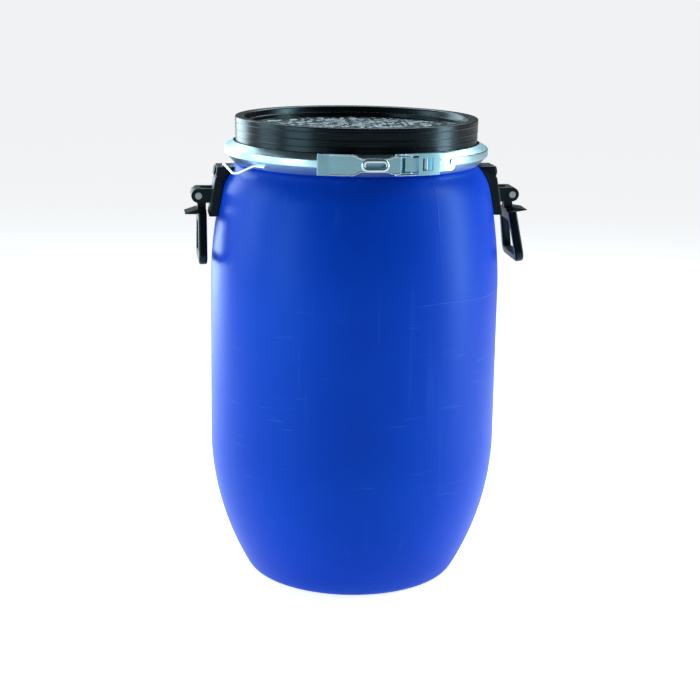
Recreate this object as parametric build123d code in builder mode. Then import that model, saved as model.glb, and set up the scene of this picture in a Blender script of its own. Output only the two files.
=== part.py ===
from build123d import *
import math
import os

os.makedirs("parts", exist_ok=True)

# Plastic open head drum, sizes in millimetres.
# Origin: centre of the base, on the surface the drum stands on. +Z is up.
# The two carrying handles lie on the X axis and the lever closure is at the front, on -Y.
# A bearing is an angle about Z in degrees: 0 is the front (-Y) and it grows towards +X.

# ---- driving sizes -------------------------------------------------------------------------
overall_height = 630.0        # base to the top of the lid's rim
body_radius = 195.5           # widest outside radius of the body
wall = 4.0                    # body wall
mouth_radius = 152.0          # clear radius of the mouth
neck_radius = 160.5           # outside of the neck under the bead
bead_radius = 171.5           # outside of the drum's bead and of the lid's flange

# body outline
flank_radius = 375.0          # arc of the lower flank, in the section
flank_height = 200.0          # where the lower flank reaches its full width
barrel_radius = 700.0         # long arc of the upper flank, in the section
barrel_share = 142.0          # height that the long arc takes
shoulder_radius = 62.0        # tight arc of the shoulder, in the section
heel_radius = 25.0            # rounding between the flank and the base
foot_inner_radius = 110.0     # inside of the ring that the drum stands on
foot_slope = 7.0              # run of the slope from the foot up to the base panel
base_recess = 7.0             # height of the base panel above the foot
floor_wall = 4.5              # thickness of the base

# clamp ring section
lid_stand = 32.0              # the lid's rim above the ring's upper lip
band_thickness = 1.2
web_radius = 176.0            # outside of the ring's upright web
web_height = 9.1
upper_lip_radius = 164.3
upper_flank_rise = 6.7
lower_lip_radius = 163.5
lower_flank_drop = 12.2
band_clearance = 0.5          # between the band and the flange or bead that it holds
gap_start = 14.7              # bearing where the left half of the band ends
gap_end = 16.7                # bearing where the right half of the band begins
back_gap = 0.4                # gap between the band halves at the back

# lid
lid_wall = 4.0
lid_wall_radius = 162.5
rim_inner_radius = 149.5
rim_fillet = 3.0
recess_depth = 14.0           # lid's rim down to its panel
panel_thickness = 4.0
panel_radius = 145.5
ledge_depth = 8.0             # lid's rim down to the step in the recess wall
ledge_radius = 148.0
plug_clearance = 1.0          # lid's plug inside the mouth
plug_depth = 12.5             # plug below the drum's mouth
plug_wall = 4.0
lid_gap = 1.0                 # lid's flange above the drum's bead
gasket_height = 3.0
gasket_inner_radius = 160.0
gasket_width = 8.0
gasket_side_clearance = 0.1

# handles
pivot_radius = 212.0          # hinge pin of a grip, from the drum's axis
pivot_height = 526.5
bracket_width = 44.0
bracket_top = 565.0
bracket_bottom = 499.0
bracket_top_radius = 187.5
bracket_bottom_radius = 198.5
crease_height = 552.0
crease_size = 2.0
lug_radius = 9.5
lug_thickness = 10.0
lug_spacing = 28.0
grip_pin_radius = 3.0
pin_running_clearance = 0.06
barrel_side_clearance = 0.4
grip_width = 94.0
grip_shoulder_width = 62.0
grip_drop = 89.5              # hinge pin down to the bottom of the grip
grip_thickness = 11.5
grip_bar = 12.0
grip_offset = 4.7             # grip's mid plane inside the hinge pin's circle
grip_corner = 13.0
fin_drop = 24.5               # hinge pin down to the flat underside of the stop fin
fin_height = 6.5
fin_width = 37.0
fin_tip_radius = 230.0
right_grip_rest = 9.0         # the right grip stands out by this much, in degrees
stud_radius = 3.0
stud_head_radius = 5.5
stud_head_height = 2.4
stud_spacing = 16.0
stud_height = 558.5

# lever closure
closure_height = 587.0        # mid height of the lever and its brackets
sheet = 1.8                   # sheet steel of the closure
pin_circle = 181.0            # the closure's three pins, from the drum's axis
closure_pin_radius = 2.5
lever_pivot = 13.6            # bearing of the lever's hinge pin
link_pivot = 8.6              # bearing of the link's pin on the lever
hook_bearing = 20.8           # bearing of the link's hook pin
lever_inner_radius = 184.2
lever_free_end = -18.6
lever_tab_length = 14.0
lever_tab_lift = 14.0         # outward bend of the tab, in degrees
lever_tab_height = 26.8
lever_height = 25.6
waist_height = 16.5
waist_start = -5.8
waist_end = 3.8
waist_taper = 2.8             # bearing that the lever takes to widen again
plate_end = 9.6
rim_depth = 4.6
lever_ear_inset = 9.3         # mid height to the inner face of the lever's ears
link_arm_inset = 11.7         # mid height to the inner face of the link's arms
link_end = 26.4
window_start = 18.5
window_end = 23.1
window_height = 15.0
anchor_half_height = 9.0
anchor_start = -14.0
anchor_plate_end = 15.2
anchor_box_start = 11.5
anchor_cover_start = 11.5
anchor_end = 16.9
anchor_outer_radius = 183.6
anchor_gap = 1.0              # between the anchor's box and the band under it
catch_half_height = 9.8
catch_plate_half_height = 11.5
catch_start = 17.4
catch_corner = 7.0
catch_end = 37.2
slot_bearing = -0.5
slot_length = 26.0
slot_width = 6.6
lip_length = 34.5
lip_width = 15.6
lip_rise = 1.2
ear_end_radius = 4.0
hook_slack = 2.6              # free play of the hook pin before its catch
hook_lip = 1.8                # height of the catch ridge above its plate
rivet_radius = 2.0
rivet_clearance = 0.05
rivet_head_radius = 4.0
rivet_head_height = 1.4
catch_rivet_bearings = (28.8, 35.1)
anchor_rivet_bearings = (-12.0, -6.0)

# retaining wire
wire_radius = 1.5
wire_hole_clearance = 0.5
wire_ring_bearing = -57.5
wire_low_bearing = -68.0
wire_bracket_offset = 16.0    # wire's upright end in front of the bracket's middle
wire_bracket_radius = 179.0
wire_low_radius = 181.0
wire_low_height = 560.0
wire_top_height = 569.5
wire_depth = 12.0             # depth of the wire's end in the bracket

# ---- values worked out from them ------------------------------------------------------------
ring_top = overall_height - lid_stand
web_top = ring_top - upper_flank_rise
web_bottom = web_top - web_height
ring_bottom = web_bottom - lower_flank_drop
lower_slope = lower_flank_drop / (web_radius - lower_lip_radius)
upper_slope = upper_flank_rise / (web_radius - upper_lip_radius)
lower_shift = (band_thickness + band_clearance) * math.hypot(1.0, lower_slope)
upper_shift = (band_thickness + band_clearance) * math.hypot(1.0, upper_slope)
bead_under_edge = web_bottom + lower_shift - lower_slope * (web_radius - bead_radius)
bead_under_neck = web_bottom + lower_shift - lower_slope * (web_radius - neck_radius)
bead_edge = 4.3                                       # upright edge of the bead
mouth_top = bead_under_edge + bead_edge
flange_top_edge = web_top - upper_shift + upper_slope * (web_radius - bead_radius)
flange_top_wall = web_top - upper_shift + upper_slope * (web_radius - lid_wall_radius)
panel_top = overall_height - recess_depth
plug_radius = mouth_radius - plug_clearance
lever_outer_radius = lever_inner_radius + sheet
pin_hole_radius = closure_pin_radius + pin_running_clearance


# ---- helpers --------------------------------------------------------------------------------
def turn(bearing):
    """Angle from +X, in degrees, of a bearing counted from the front."""
    return bearing - 90.0


def at(radius, bearing, height):
    """Point at a radius, a bearing and a height."""
    angle = math.radians(turn(bearing))
    return (radius * math.cos(angle), radius * math.sin(angle), height)


def section_plane(bearing):
    """Upright plane through the drum's axis: its x runs outwards and its y runs up."""
    return Plane(origin=(0, 0, 0), x_dir=at(1, bearing, 0), z_dir=at(1, bearing - 90, 0))


def outward_plane(radius, bearing, height):
    """Plane that faces outwards from the drum at a bearing: its x runs along the ring."""
    return Plane(origin=at(radius, bearing, height), x_dir=at(1, bearing + 90, 0), z_dir=at(1, bearing, 0))


def ring_strip(inner, outer, start, end, low, high):
    """Curved plate between two radii, two bearings and two heights."""
    with BuildPart() as strip:
        with BuildSketch(Plane.XY.offset(low)):
            with BuildLine():
                outside = CenterArc((0, 0), outer, turn(start), end - start)
                inside = CenterArc((0, 0), inner, turn(start), end - start)
                Line(outside @ 0, inside @ 0)
                Line(outside @ 1, inside @ 1)
            make_face()
        extrude(amount=high - low)
    return strip.part


def upright_rod(radius, bearing, low, high, circle=pin_circle):
    """Round rod that stands upright at a bearing on a circle about the drum."""
    with BuildPart() as rod:
        with BuildSketch(Plane.XY.offset(low)):
            with PolarLocations(circle, 1, turn(bearing)):
                Circle(radius)
        extrude(amount=high - low)
    return rod.part


def both_sides(inset, thickness=sheet):
    """Height ranges of a pair of ears, above and below the closure's mid height."""
    return (
        (closure_height + inset, closure_height + inset + thickness),
        (closure_height - inset - thickness, closure_height - inset),
    )


def write(piece, name):
    """Name a finished piece and write it to its own file."""
    piece.label = name
    export_step(piece, f"parts/{name}.step")


# ---- drum shell -----------------------------------------------------------------------------
def body_section(inset, floor, heel, neck, floor_points, top_points):
    """Half section of the body, from its floor to its mouth, with its side moved in by an inset.

    The side is an arc for the lower flank, an upright stretch, a long arc and a tight shoulder arc,
    each tangent to the next.
    """
    flank = flank_radius - inset
    flank_turn = math.degrees(math.asin((flank_height - floor) / flank))
    barrel = barrel_radius - inset
    barrel_turn = math.degrees(math.asin(barrel_share / barrel_radius))
    barrel_centre = (body_radius - barrel_radius, barrel_start)
    shoulder_centre = (
        barrel_centre[0] + (barrel_radius - shoulder_radius) * math.cos(math.radians(barrel_turn)),
        barrel_centre[1] + (barrel_radius - shoulder_radius) * math.sin(math.radians(barrel_turn)),
    )
    shoulder = shoulder_radius - inset
    shoulder_turn = math.degrees(math.acos((neck - shoulder_centre[0]) / shoulder))
    with BuildSketch(Plane.XZ) as section:
        with BuildLine():
            side = CenterArc((body_radius - flank_radius, flank_height), flank, -flank_turn, flank_turn)
            long_arc = CenterArc(barrel_centre, barrel, 0, barrel_turn)
            Line(side @ 1, long_arc @ 0)
            tight_arc = CenterArc(shoulder_centre, shoulder, barrel_turn, shoulder_turn - barrel_turn)
            Polyline(tight_arc @ 1, *top_points, *floor_points, side @ 0)
        make_face()
        fillet(section.vertices().sort_by_distance(side @ 0)[0], heel)
    return section.sketch


barrel_start = 392.0          # height where the long arc begins
foot_panel_radius = foot_inner_radius - foot_slope

with BuildPart() as drum_envelope:
    revolve(
        body_section(
            inset=0.0,
            floor=0.0,
            heel=heel_radius,
            neck=neck_radius,
            floor_points=[(0, base_recess), (foot_panel_radius, base_recess), (foot_inner_radius, 0)],
            top_points=[
                (neck_radius, bead_under_neck),
                (bead_radius, bead_under_edge),
                (bead_radius, mouth_top),
                (0, mouth_top),
            ],
        ),
        axis=Axis.Z,
    )

with BuildPart() as drum_shell:
    add(drum_envelope.part)
    revolve(
        body_section(
            inset=wall,
            floor=floor_wall,
            heel=heel_radius - wall,
            neck=mouth_radius,
            floor_points=[
                (0, base_recess + floor_wall),
                (foot_panel_radius, base_recess + floor_wall),
                (foot_inner_radius, floor_wall),
            ],
            top_points=[(mouth_radius, mouth_top), (0, mouth_top)],
        ),
        axis=Axis.Z,
        mode=Mode.SUBTRACT,
    )
write(drum_shell.part, "drum_shell")


# ---- lid and gasket -------------------------------------------------------------------------
gasket_outer_radius = gasket_inner_radius + gasket_width
flange_under = mouth_top + lid_gap
groove_inner = gasket_inner_radius - gasket_side_clearance
groove_outer = gasket_outer_radius + gasket_side_clearance
panel_under = panel_top - panel_thickness
skirt_radius = lid_wall_radius - lid_wall

with BuildPart() as lid_shell:
    with BuildSketch(Plane.XZ) as lid_section:
        with BuildLine():
            Polyline(
                (0, panel_top),
                (panel_radius, panel_top),
                (panel_radius, overall_height - ledge_depth),
                (ledge_radius, overall_height - ledge_depth),
                (rim_inner_radius, overall_height),
                (lid_wall_radius, overall_height),
                (lid_wall_radius, flange_top_wall),
                (bead_radius, flange_top_edge),
                (bead_radius, flange_under),
                (groove_outer, flange_under),
                (groove_outer, mouth_top + gasket_height),
                (groove_inner, mouth_top + gasket_height),
                (groove_inner, flange_under),
                (skirt_radius, flange_under),
                (skirt_radius, overall_height - lid_wall),
                (plug_radius, overall_height - lid_wall),
                (plug_radius, mouth_top - plug_depth),
                (plug_radius - plug_wall, mouth_top - plug_depth),
                (plug_radius - plug_wall, panel_under),
                (0, panel_under),
                close=True,
            )
        make_face()
        fillet(lid_section.vertices().group_by(Axis.Y)[-1], rim_fillet)
    revolve(axis=Axis.Z)
write(lid_shell.part, "lid_shell")

with BuildPart() as lid_gasket:
    with BuildSketch(Plane.XY.offset(mouth_top)):
        Circle(gasket_outer_radius)
        Circle(gasket_inner_radius, mode=Mode.SUBTRACT)
    extrude(amount=gasket_height)
write(lid_gasket.part, "lid_gasket")


# ---- handles --------------------------------------------------------------------------------
bracket_lean = (bracket_bottom_radius - bracket_top_radius) / (bracket_top - bracket_bottom)
grip_middle = pivot_radius - grip_offset
fin_under = pivot_height - fin_drop
grip_bottom = pivot_height - grip_drop
lug_inner_face = (lug_spacing - lug_thickness) / 2
lug_outer_face = (lug_spacing + lug_thickness) / 2
wire_in_bracket = (-wire_bracket_radius, -wire_bracket_offset)


def bracket_face(height):
    """Radius of the bracket's outer face at a height."""
    return bracket_bottom_radius - bracket_lean * (height - bracket_bottom)


def stud_plane(offset):
    """Plane of a stud's head on the bracket's sloping outer face."""
    return Plane(
        origin=(bracket_face(stud_height), offset, stud_height),
        x_dir=(0, 1, 0),
        z_dir=(1, 0, bracket_lean),
    )


def handle_bracket():
    """Moulded bracket on the shoulder at +X, with two lugs for the hinge pin."""
    lug_root = bracket_top_radius - crease_size * 2
    crease_top = crease_height + crease_size
    crease_low = crease_height - crease_size
    with BuildPart() as bracket:
        with BuildSketch(Plane.XZ):
            with BuildLine():
                Polyline(
                    (neck_radius, bracket_top),
                    (bracket_top_radius, bracket_top),
                    (bracket_face(crease_top), crease_top),
                    (bracket_face(crease_height) - crease_size, crease_height),
                    (bracket_face(crease_low), crease_low),
                    (bracket_bottom_radius, bracket_bottom),
                    (neck_radius, bracket_bottom),
                    close=True,
                )
            make_face()
        extrude(amount=bracket_width / 2, both=True)
        for middle in (-lug_spacing / 2, lug_spacing / 2):
            with BuildSketch(Plane.XZ.offset(middle - lug_thickness / 2)):
                with Locations((pivot_radius, pivot_height)):
                    Circle(lug_radius)
                with Locations(((pivot_radius + lug_root) / 2, pivot_height)):
                    Rectangle(pivot_radius - lug_root, lug_radius * 2)
                with Locations((pivot_radius, pivot_height)):
                    Circle(grip_pin_radius + pin_running_clearance, mode=Mode.SUBTRACT)
            extrude(amount=lug_thickness)
        for offset in (-stud_spacing / 2, stud_spacing / 2):
            with BuildSketch(stud_plane(offset)):
                Circle(stud_radius + pin_running_clearance)
            extrude(amount=-bracket_width, mode=Mode.SUBTRACT)
        add(drum_envelope.part, mode=Mode.SUBTRACT)
    return bracket.part


def bracket_studs():
    """Pair of headed studs that run through the bracket at +X to the shell, which they are welded to."""
    with BuildPart() as studs:
        for offset in (-stud_spacing / 2, stud_spacing / 2):
            with BuildSketch(stud_plane(offset)):
                Circle(stud_radius)
            extrude(amount=-bracket_width)
            with BuildSketch(stud_plane(offset)):
                Circle(stud_head_radius)
            extrude(amount=stud_head_height)
        add(drum_envelope.part, mode=Mode.SUBTRACT)
    return studs.part


def grip_pin():
    """Headed steel pin through both lugs at +X."""
    with BuildPart() as pin:
        with BuildSketch(Plane.XZ):
            with Locations((pivot_radius, pivot_height)):
                Circle(grip_pin_radius)
        extrude(amount=lug_outer_face, both=True)
        for face in (-lug_outer_face - grip_pin_radius / 2, lug_outer_face):
            with BuildSketch(Plane.XZ.offset(face)):
                with Locations((pivot_radius, pivot_height)):
                    Circle(grip_pin_radius * 1.5)
            extrude(amount=grip_pin_radius / 2)
    return pin.part


def grip():
    """Carrying grip at +X, hanging straight down: barrel, neck, stop fin and loop."""
    inner_face = grip_middle - grip_thickness / 2
    barrel_length = lug_inner_face * 2 - barrel_side_clearance * 2
    with BuildPart() as handle:
        with BuildSketch(Plane.XZ):
            with Locations((pivot_radius, pivot_height)):
                Circle(lug_radius)
            with Locations((grip_middle, (pivot_height + fin_under) / 2)):
                Rectangle(grip_thickness, pivot_height - fin_under)
        extrude(amount=barrel_length / 2, both=True)
        with BuildSketch(Plane.XZ):
            with BuildLine():
                Polyline(
                    (inner_face, fin_under),
                    (fin_tip_radius, fin_under),
                    (fin_tip_radius, fin_under + 1),
                    (grip_middle + grip_thickness / 2, fin_under + fin_height),
                    (inner_face, fin_under + fin_height),
                    close=True,
                )
            make_face()
        extrude(amount=fin_width / 2, both=True)
        with BuildSketch(Plane.YZ.offset(inner_face)) as loop:
            with BuildLine():
                Polyline(
                    (-grip_shoulder_width / 2, fin_under + fin_height / 2),
                    (grip_shoulder_width / 2, fin_under + fin_height / 2),
                    (grip_width / 2, grip_bottom),
                    (-grip_width / 2, grip_bottom),
                    close=True,
                )
            make_face()
            fillet(loop.vertices().group_by(Axis.Y)[0], grip_corner)
            offset(loop.face(), amount=-grip_bar, mode=Mode.SUBTRACT)
        extrude(amount=grip_thickness)
        with BuildSketch(Plane.XZ):
            with Locations((pivot_radius, pivot_height)):
                Circle(grip_pin_radius + pin_running_clearance)
        extrude(amount=grip_width, both=True, mode=Mode.SUBTRACT)
    return handle.part


with BuildPart() as handle_bracket_right:
    add(handle_bracket())
write(handle_bracket_right.part, "handle_bracket_right")

with BuildPart() as handle_bracket_left:
    mirror(handle_bracket(), about=Plane.YZ)
    with BuildSketch(Plane.XY.offset(bracket_top)):
        with Locations(wire_in_bracket):
            Circle(wire_radius + wire_hole_clearance)
    extrude(amount=-(wire_depth + wire_hole_clearance), mode=Mode.SUBTRACT)
write(handle_bracket_left.part, "handle_bracket_left")

write(bracket_studs(), "bracket_studs_right")
write(mirror(bracket_studs(), about=Plane.YZ), "bracket_studs_left")
write(grip_pin(), "grip_pin_right")
write(mirror(grip_pin(), about=Plane.YZ), "grip_pin_left")
right_pivot_axis = Axis((pivot_radius, 0, pivot_height), (0, -1, 0))
write(grip().rotate(right_pivot_axis, right_grip_rest), "grip_right")
write(mirror(grip(), about=Plane.YZ), "grip_left")


# ---- clamp ring -----------------------------------------------------------------------------
def band(start, end, rivet_bearings):
    """Stretch of the ring's folded steel band between two bearings, with holes for its rivets."""
    with BuildPart() as strip:
        with BuildSketch(section_plane(start)):
            with BuildLine():
                outside = Polyline(
                    (upper_lip_radius, ring_top),
                    (web_radius, web_top),
                    (web_radius, web_bottom),
                    (lower_lip_radius, ring_bottom),
                )
                offset(outside, amount=band_thickness, side=Side.RIGHT)
            make_face()
        revolve(axis=Axis.Z, revolution_arc=end - start)
        for bearing in rivet_bearings:
            with BuildSketch(outward_plane(web_radius - band_thickness * 2, bearing, closure_height)):
                Circle(rivet_radius + rivet_clearance)
            extrude(amount=band_thickness * 3, mode=Mode.SUBTRACT)
    return strip.part


def rivets(bearings, plate_outer):
    """Headed rivets through the band and the plate on it."""
    band_inner = web_radius - band_thickness
    head_seat = math.sqrt(band_inner**2 - rivet_head_radius**2)
    with BuildPart() as group:
        for bearing in bearings:
            with BuildSketch(outward_plane(head_seat, bearing, closure_height)):
                Circle(rivet_head_radius)
            extrude(amount=-rivet_head_height)
            with BuildSketch(outward_plane(head_seat, bearing, closure_height)):
                Circle(rivet_radius)
            extrude(amount=plate_outer - head_seat)
            with BuildSketch(outward_plane(plate_outer, bearing, closure_height)):
                Circle(rivet_head_radius)
            head = extrude(amount=rivet_head_height)
            rims = head.edges().filter_by(GeomType.CIRCLE)
            outer_rim = rims.sort_by_distance(at(plate_outer * 2, bearing, closure_height))[0]
            fillet(outer_rim, rivet_head_height * 0.6)
    return group.part


half_gap = math.degrees(back_gap / 2 / web_radius)
write(band(-180 + half_gap, gap_start, anchor_rivet_bearings), "ring_band_left")
write(band(gap_end, 180 - half_gap, catch_rivet_bearings), "ring_band_right")
plate_outer = web_radius + sheet
write(rivets(anchor_rivet_bearings, plate_outer), "anchor_rivets")
write(rivets(catch_rivet_bearings, plate_outer), "catch_rivets")


def rivet_holes(bearings):
    """Rods that cut the rivet holes of a plate on the band."""
    with BuildPart() as rods:
        for bearing in bearings:
            with BuildSketch(outward_plane(web_radius - sheet, bearing, closure_height)):
                Circle(rivet_radius + rivet_clearance)
            extrude(amount=sheet * 3)
    return rods.part


# anchor bracket on the left half: a plate, and a box that holds the lever's hinge pin
with BuildPart() as anchor_bracket:
    low = closure_height - anchor_half_height
    high = closure_height + anchor_half_height
    add(ring_strip(web_radius, plate_outer, anchor_start, anchor_plate_end, low, high))
    for under, over in both_sides(anchor_half_height - sheet):
        add(ring_strip(web_radius + anchor_gap, anchor_outer_radius, anchor_box_start, anchor_end, under, over))
    add(ring_strip(anchor_outer_radius - sheet, anchor_outer_radius, anchor_cover_start, anchor_end, low, high))
    add(upright_rod(pin_hole_radius, lever_pivot, low - sheet, high + sheet), mode=Mode.SUBTRACT)
    add(rivet_holes(anchor_rivet_bearings), mode=Mode.SUBTRACT)
write(anchor_bracket.part, "anchor_bracket")

# catch bracket on the right half: a plate with a ridge that the hook pin pulls on
with BuildPart() as catch_plate:
    low = closure_height - catch_plate_half_height
    high = closure_height + catch_plate_half_height
    add(ring_strip(web_radius, plate_outer, link_end - 1, catch_end, low, high))
    plate_middle = (link_end + catch_end) / 2
    plate_length = math.radians(catch_end - link_end) * web_radius
    with BuildSketch(outward_plane(web_radius / 2, plate_middle, closure_height)):
        RectangleRounded(plate_length, catch_plate_half_height * 2, catch_corner)
    extrude(amount=web_radius, mode=Mode.INTERSECT)

with BuildPart() as catch_bracket:
    low = closure_height - catch_half_height
    high = closure_height + catch_half_height
    ridge_end = hook_bearing - math.degrees((closure_pin_radius + hook_slack) / pin_circle)
    ridge_top = plate_outer + hook_lip
    add(catch_plate.part)
    add(ring_strip(web_radius, plate_outer, catch_start, (link_end + catch_end) / 2, low, high))
    add(ring_strip(web_radius, ridge_top, catch_start, ridge_end, low, high))
    add(rivet_holes(catch_rivet_bearings), mode=Mode.SUBTRACT)
write(catch_bracket.part, "catch_bracket")

# retaining wire: welded under the ring's lower flank, its far end hangs in the left bracket's hole
lower_normal = (math.sin(math.atan(lower_slope)), -math.cos(math.atan(lower_slope)))
weld_radius = (web_radius + lower_lip_radius) / 2 + lower_normal[0] * wire_radius
weld_height = (web_bottom + ring_bottom) / 2 + lower_normal[1] * wire_radius
with BuildPart() as retaining_wire:
    with BuildLine() as wire_path:
        FilletPolyline(
            at(weld_radius, wire_ring_bearing + 7, weld_height),
            at(weld_radius, wire_ring_bearing, weld_height),
            at(wire_low_radius, wire_low_bearing, wire_low_height),
            (*wire_in_bracket, wire_top_height),
            (*wire_in_bracket, bracket_top - wire_depth),
            radius=[14.0, 30.0, 4.0],
        )
    with BuildSketch(Plane(origin=wire_path.line @ 0, z_dir=wire_path.line % 0)):
        Circle(wire_radius)
    sweep()
write(retaining_wire.part, "retaining_wire")


# ---- lever closure --------------------------------------------------------------------------
def closure_pin(bearing, half_length):
    """Steel pin that stands across the closure at a bearing."""
    return upright_rod(closure_pin_radius, bearing, closure_height - half_length, closure_height + half_length)


lever_middle_radius = (lever_inner_radius + lever_outer_radius) / 2
ear_outset = lever_ear_inset + sheet
slot_plane = Plane(
    origin=at(lever_inner_radius - rim_depth, slot_bearing, closure_height),
    x_dir=at(1, slot_bearing + 90, 0),
    z_dir=at(1, slot_bearing, 0),
)


def across(bearing):
    """X of a point on the lever at a bearing."""
    return lever_middle_radius * math.sin(math.radians(bearing))


with BuildPart() as slot_lip:
    add(
        ring_strip(
            lever_inner_radius,
            lever_outer_radius + lip_rise,
            slot_bearing - waist_height,
            slot_bearing + waist_height,
            closure_height - lip_width,
            closure_height + lip_width,
        )
    )
    with BuildSketch(slot_plane):
        SlotOverall(lip_length, lip_width)
    extrude(amount=lever_outer_radius, mode=Mode.INTERSECT)

with BuildPart() as lever:
    low = closure_height - lever_height / 2
    high = closure_height + lever_height / 2
    add(ring_strip(lever_inner_radius, lever_outer_radius, lever_free_end, plate_end, low, high))
    wide_end = waist_start - waist_taper
    for under, over in both_sides(lever_height / 2 - sheet):
        add(ring_strip(lever_inner_radius - rim_depth, lever_outer_radius, lever_free_end, wide_end, under, over))
    for side in (-1, 1):
        with BuildSketch(Plane.XZ):
            with BuildLine():
                Polyline(
                    (across(wide_end), closure_height + side * lever_height),
                    (across(wide_end), closure_height + side * lever_height / 2),
                    (across(waist_start), closure_height + side * waist_height / 2),
                    (across(waist_end), closure_height + side * waist_height / 2),
                    (across(waist_end + waist_taper), closure_height + side * ear_outset),
                    (across(plate_end + waist_taper), closure_height + side * ear_outset),
                    (across(plate_end + waist_taper), closure_height + side * lever_height),
                    close=True,
                )
            make_face()
        extrude(amount=lever_outer_radius * 1.2, mode=Mode.SUBTRACT)
    for under, over in both_sides(lever_ear_inset):
        add(
            ring_strip(
                pin_circle - ear_end_radius,
                pin_circle + ear_end_radius,
                waist_end + waist_taper,
                lever_pivot,
                under,
                over,
            )
        )
        add(upright_rod(ear_end_radius, lever_pivot, under, over))
    with BuildSketch(Plane.XY.offset(closure_height - lever_tab_height / 2)):
        with PolarLocations(lever_middle_radius, 1, turn(lever_free_end)):
            Circle(sheet / 2)
            Rectangle(lever_tab_length, sheet, rotation=lever_tab_lift - 90, align=(Align.MIN, Align.CENTER))
    extrude(amount=lever_tab_height)
    add(slot_lip.part)
    with BuildSketch(slot_plane):
        SlotOverall(slot_length, slot_width)
    extrude(amount=lever_outer_radius, mode=Mode.SUBTRACT)
    for bearing in (lever_pivot, link_pivot):
        add(upright_rod(pin_hole_radius, bearing, low, high), mode=Mode.SUBTRACT)
write(lever.part, "lever")

arm_outset = link_arm_inset + sheet
link_web_inner = lever_outer_radius - sheet + 0.5
link_web_outer = link_web_inner + sheet
link_web_start = anchor_end
with BuildPart() as toggle_link:
    low = closure_height - arm_outset
    high = closure_height + arm_outset
    for under, over in both_sides(link_arm_inset):
        add(
            ring_strip(
                pin_circle - ear_end_radius,
                pin_circle + ear_end_radius,
                link_pivot,
                link_end,
                under,
                over,
            )
        )
        add(upright_rod(ear_end_radius, link_pivot, under, over))
    add(ring_strip(link_web_inner, link_web_outer, link_web_start, link_end, low, high))
    add(
        ring_strip(
            link_web_inner - sheet,
            link_web_outer + sheet,
            window_start,
            window_end,
            closure_height - window_height / 2,
            closure_height + window_height / 2,
        ),
        mode=Mode.SUBTRACT,
    )
    for bearing in (link_pivot, hook_bearing):
        add(upright_rod(closure_pin_radius, bearing, low, high), mode=Mode.SUBTRACT)
write(toggle_link.part, "toggle_link")

write(closure_pin(lever_pivot, ear_outset), "lever_pin")
write(closure_pin(link_pivot, arm_outset), "link_pin")
write(closure_pin(hook_bearing, arm_outset), "hook_pin")
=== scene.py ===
"""Looks of a plastic open head drum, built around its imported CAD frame.

Lengths are in metres and +Z is up. A bearing is an angle about Z: 0 is the front (-Y) and it
grows towards +X. The drum, the lid and the clamp band are surfaces turned about the axis, worked
out with numpy. Folded steel and moulded handles are bevelled copies of their CAD meshes.
"""

import logging
import math
from collections.abc import Callable, Sequence
from dataclasses import dataclass, field
from enum import Enum

import bmesh
import bpy
import numpy as np
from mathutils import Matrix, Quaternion, Vector


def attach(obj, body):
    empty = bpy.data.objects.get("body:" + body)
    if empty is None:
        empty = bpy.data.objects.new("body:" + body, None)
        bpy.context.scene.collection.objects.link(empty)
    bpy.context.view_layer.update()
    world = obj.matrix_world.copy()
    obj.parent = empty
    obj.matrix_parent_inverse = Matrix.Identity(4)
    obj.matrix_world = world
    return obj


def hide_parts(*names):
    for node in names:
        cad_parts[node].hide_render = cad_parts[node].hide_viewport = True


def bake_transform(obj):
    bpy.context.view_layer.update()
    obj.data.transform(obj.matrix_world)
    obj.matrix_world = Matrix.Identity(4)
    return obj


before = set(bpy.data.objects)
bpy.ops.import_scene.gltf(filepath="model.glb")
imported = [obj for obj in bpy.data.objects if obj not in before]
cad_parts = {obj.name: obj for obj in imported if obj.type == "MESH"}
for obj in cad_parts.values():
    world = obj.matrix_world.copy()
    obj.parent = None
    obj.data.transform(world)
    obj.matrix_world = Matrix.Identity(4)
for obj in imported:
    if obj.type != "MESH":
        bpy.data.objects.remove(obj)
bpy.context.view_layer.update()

log = logging.getLogger("drum")
MM = 0.001


class Slot(Enum):
    """Material slots of the record."""

    BLUE = "blue_plastic"
    LID = "lid_plastic"
    BLACK = "black_plastic"
    RUBBER = "gasket_rubber"
    ZINC = "zinc_steel"
    WIRE = "wire_steel"
    PIN = "steel_pin"


# ---- shader maths ---------------------------------------------------------------------------
class Wire:
    """An output socket of a material, with arithmetic that adds Math nodes."""

    def __init__(self, graph: "Graph", socket: bpy.types.NodeSocket) -> None:
        """Wrap a socket.

        Args:
            graph: the material's graph that the socket belongs to.
            socket: the output socket.
        """
        self.graph = graph
        self.socket = socket

    def math(self, operation: str, *values: "Wire | float") -> "Wire":
        """Add a Math node.

        Args:
            operation: the Math node's operation.
            values: its inputs in order.

        Returns:
            The node's result.
        """
        return self.graph.node("ShaderNodeMath", {"operation": operation}, dict(enumerate(values)))

    def __add__(self, other: "Wire | float") -> "Wire":
        """Sum."""
        return self.math("ADD", self, other)

    def __radd__(self, other: float) -> "Wire":
        """Sum with a number on the left."""
        return self.math("ADD", other, self)

    def __sub__(self, other: "Wire | float") -> "Wire":
        """Difference."""
        return self.math("SUBTRACT", self, other)

    def __rsub__(self, other: float) -> "Wire":
        """Difference from a number."""
        return self.math("SUBTRACT", other, self)

    def __mul__(self, other: "Wire | float") -> "Wire":
        """Product."""
        return self.math("MULTIPLY", self, other)

    def __rmul__(self, other: float) -> "Wire":
        """Product with a number on the left."""
        return self.math("MULTIPLY", other, self)

    def __abs__(self) -> "Wire":
        """Size without sign."""
        return self.math("ABSOLUTE", self)

    def ramp(self, low: float, high: float) -> "Wire":
        """Smooth step from 0 at low to 1 at high, or down where low is above high."""
        settings = {"interpolation_type": "SMOOTHSTEP"}
        return self.graph.node("ShaderNodeMapRange", settings, {0: self, 1: low, 2: high})


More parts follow.
